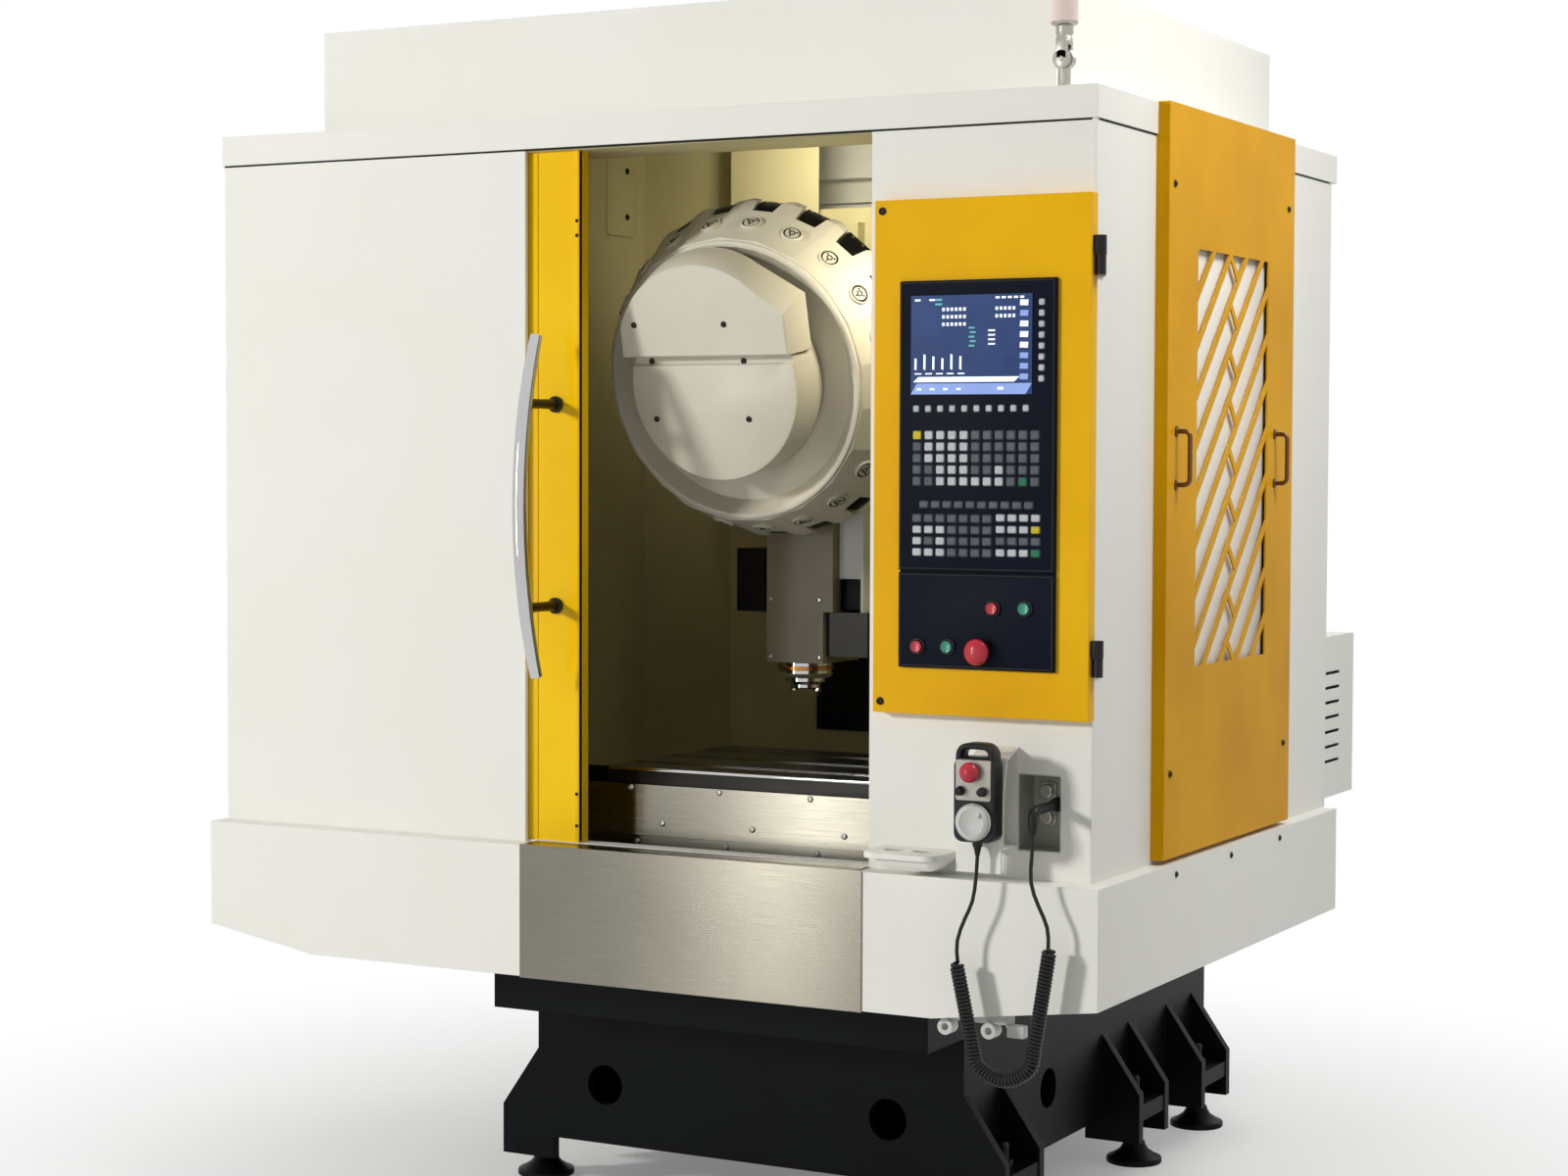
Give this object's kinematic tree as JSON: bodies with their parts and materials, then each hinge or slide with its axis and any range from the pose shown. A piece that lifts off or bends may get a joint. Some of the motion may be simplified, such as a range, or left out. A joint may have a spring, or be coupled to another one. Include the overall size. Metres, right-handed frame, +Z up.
{
  "type": "cnc machining center",
  "caption": "Enclosed drilling and milling centre with a sliding front door, swinging control console, tilted tool turret, cross-slide table and a hand pendant on a curly cord.",
  "frame": {"origin": "on the floor, under the middle of the machine's outer size (without the free cord)", "axes": "+X to the operator's right, +Y from the door to the back, +Z up"},
  "size_m": [1.7619, 1.59, 2.216],
  "materials": {
    "white_paint": "satin",
    "cream_paint": "satin",
    "yellow_paint": "fine texture",
    "gold_paint": "satin",
    "black_paint": "satin",
    "grey_paint": "satin",
    "stainless": "brushed",
    "machined_steel": "ground",
    "chrome": "polished",
    "iron": "machined",
    "black_plastic": "matte",
    "unit_plastic": "matte",
    "red_plastic": "gloss",
    "green_plastic": "gloss",
    "white_plastic": "gloss",
    "screen_glass": "lit screen under clear glass",
    "door_glass": "clear",
    "cord_rubber": "matte"
  },
  "bodies": {
    "frame": {"base_frame": "black_paint", "levelling_feet": "black_paint", "column": "iron", "turret_carrier": "cream_paint", "hub_cover_upper": "cream_paint", "hub_cover_lower": "cream_paint", "skirt_pan": "white_paint", "apron_plate": "stainless", "left_panel": "white_paint", "right_front_panel": "white_paint", "right_side_panel": "white_paint", "rear_panel": "white_paint", "roof_cover": "white_paint", "top_housing": "white_paint", "inner_liner": "cream_paint", "way_cover": "black_paint", "grille_panel": "gold_paint", "grille_handles": "black_paint", "louvred_box": "white_paint", "electrical_cabinet": "white_paint", "panel_hinges": "black_paint", "pendant_body": "black_plastic", "pendant_bracket": "white_paint", "strain_relief": "cord_rubber", "connector_recess": "stainless", "cord_plug": "black_plastic", "cord_coil": "cord_rubber", "cord_lead": "cord_rubber", "cord_tail": "cord_rubber", "tray": "white_paint", "pipe_clamps": "grey_paint", "lamp_bracket": "white_plastic"},
    "sliding_door": {"door_frame": "yellow_paint", "door_window": "door_glass", "door_handle": "chrome"},
    "console": {"control_door": "yellow_paint", "cnc_unit": "unit_plastic", "display_glass": "screen_glass"},
    "saddle_slide": {"saddle": "iron", "saddle_apron": "stainless"},
    "work_table": {"table": "machined_steel"},
    "spindle_head": {"head": "iron", "head_covers": "black_paint"},
    "spindle_shaft": {"spindle": "chrome"},
    "tool_turret": {"turret_drum": "cream_paint", "turret_pots": "black_plastic"},
    "x_drive": {"x_screw": "machined_steel"},
    "y_drive": {"y_screw": "machined_steel"},
    "z_drive": {"z_screw": "machined_steel"},
    "rear_door": {"cabinet_door": "white_paint"},
    "red_upper": {"button_red_upper": "red_plastic"},
    "green_upper": {"button_green_upper": "green_plastic"},
    "red_lower": {"button_red_lower": "red_plastic"},
    "green_lower": {"button_green_lower": "green_plastic"},
    "panel_stop": {"panel_estop": "red_plastic"},
    "pendant_stop": {"pendant_estop": "red_plastic"},
    "axis_knob": {"pendant_axis_knob": "black_plastic"},
    "scale_knob": {"pendant_scale_knob": "black_plastic"},
    "hand_dial": {"pendant_dial": "white_plastic"},
    "signal_lamp": {"lamp_head": "white_plastic"}
  },
  "joints": [
    {"name": "door_slide", "type": "slide", "parent": "frame", "child": "sliding_door", "axis": [1, 0, 0], "range_m": [0, 0.573]},
    {"name": "console_swing", "type": "hinge", "parent": "frame", "child": "console", "pos_m": [0.842, -0.682, 1.34], "axis": [0, 0, 1], "range_deg": [0, 110]},
    {"name": "rear_door_swing", "type": "hinge", "parent": "frame", "child": "rear_door", "pos_m": [-0.578, 0.758, 1.25], "axis": [0, 0, 1], "range_deg": [0, 110]},
    {"name": "y_axis", "type": "slide", "parent": "frame", "child": "saddle_slide", "axis": [0, 1, 0], "range_m": [-0.074, 0.326]},
    {"name": "x_axis", "type": "slide", "parent": "saddle_slide", "child": "work_table", "axis": [1, 0, 0], "range_m": [-0.435, 0.165]},
    {"name": "z_axis", "type": "slide", "parent": "frame", "child": "spindle_head", "axis": [0, 0, 1], "range_m": [0, 0.33]},
    {"name": "spindle_spin", "type": "hinge", "parent": "spindle_head", "child": "spindle_shaft", "pos_m": [0.081, -0.209, 0.94], "axis": [0, 0, 1], "continuous": true},
    {"name": "turret_index", "type": "hinge", "parent": "frame", "child": "tool_turret", "pos_m": [0.081, -0.433, 1.4785], "axis": [0, -0.9816, -0.1908], "continuous": true},
    {"name": "x_screw_spin", "type": "hinge", "parent": "saddle_slide", "child": "x_drive", "pos_m": [0.081, -0.335, 0.72], "axis": [1, 0, 0], "range_deg": [-9792, 3717]},
    {"name": "y_screw_spin", "type": "hinge", "parent": "frame", "child": "y_drive", "pos_m": [0.081, -0.216, 0.633], "axis": [0, 1, 0], "range_deg": [-1670, 7340]},
    {"name": "z_screw_spin", "type": "hinge", "parent": "frame", "child": "z_drive", "pos_m": [0.081, 0.228, 1.385], "axis": [0, 0, 1], "range_deg": [-5, 7430]},
    {"name": "red_upper_press", "type": "slide", "parent": "console", "child": "red_upper", "axis": [0, 1, 0], "range_m": [0, 0.004], "stiffness_N_per_m": 400, "springref_m": -0.003},
    {"name": "green_upper_press", "type": "slide", "parent": "console", "child": "green_upper", "axis": [0, 1, 0], "range_m": [0, 0.004], "stiffness_N_per_m": 400, "springref_m": -0.003},
    {"name": "red_lower_press", "type": "slide", "parent": "console", "child": "red_lower", "axis": [0, 1, 0], "range_m": [0, 0.004], "stiffness_N_per_m": 400, "springref_m": -0.003},
    {"name": "green_lower_press", "type": "slide", "parent": "console", "child": "green_lower", "axis": [0, 1, 0], "range_m": [0, 0.004], "stiffness_N_per_m": 400, "springref_m": -0.003},
    {"name": "panel_stop_press", "type": "slide", "parent": "console", "child": "panel_stop", "axis": [0, 1, 0], "range_m": [0, 0.004]},
    {"name": "pendant_stop_press", "type": "slide", "parent": "frame", "child": "pendant_stop", "axis": [0, 1, 0], "range_m": [0, 0.003]},
    {"name": "axis_knob_turn", "type": "hinge", "parent": "frame", "child": "axis_knob", "pos_m": [0.65, -0.777, 0.817], "axis": [0, -1, 0], "range_deg": [-60, 90]},
    {"name": "scale_knob_turn", "type": "hinge", "parent": "frame", "child": "scale_knob", "pos_m": [0.688, -0.777, 0.817], "axis": [0, -1, 0], "range_deg": [-60, 60]},
    {"name": "hand_dial_turn", "type": "hinge", "parent": "frame", "child": "hand_dial", "pos_m": [0.673, -0.777, 0.769], "axis": [0, -1, 0], "continuous": true},
    {"name": "lamp_fold", "type": "hinge", "parent": "frame", "child": "signal_lamp", "pos_m": [0.744, -0.599, 1.968], "axis": [0, 1, 0], "range_deg": [-90, 0]}
  ],
  "couplings": [
    {"joint": "x_screw_spin", "follows": "x_axis", "rad_per_m": 392.7},
    {"joint": "y_screw_spin", "follows": "y_axis", "rad_per_m": 392.7},
    {"joint": "z_screw_spin", "follows": "z_axis", "rad_per_m": 392.7}
  ]
}
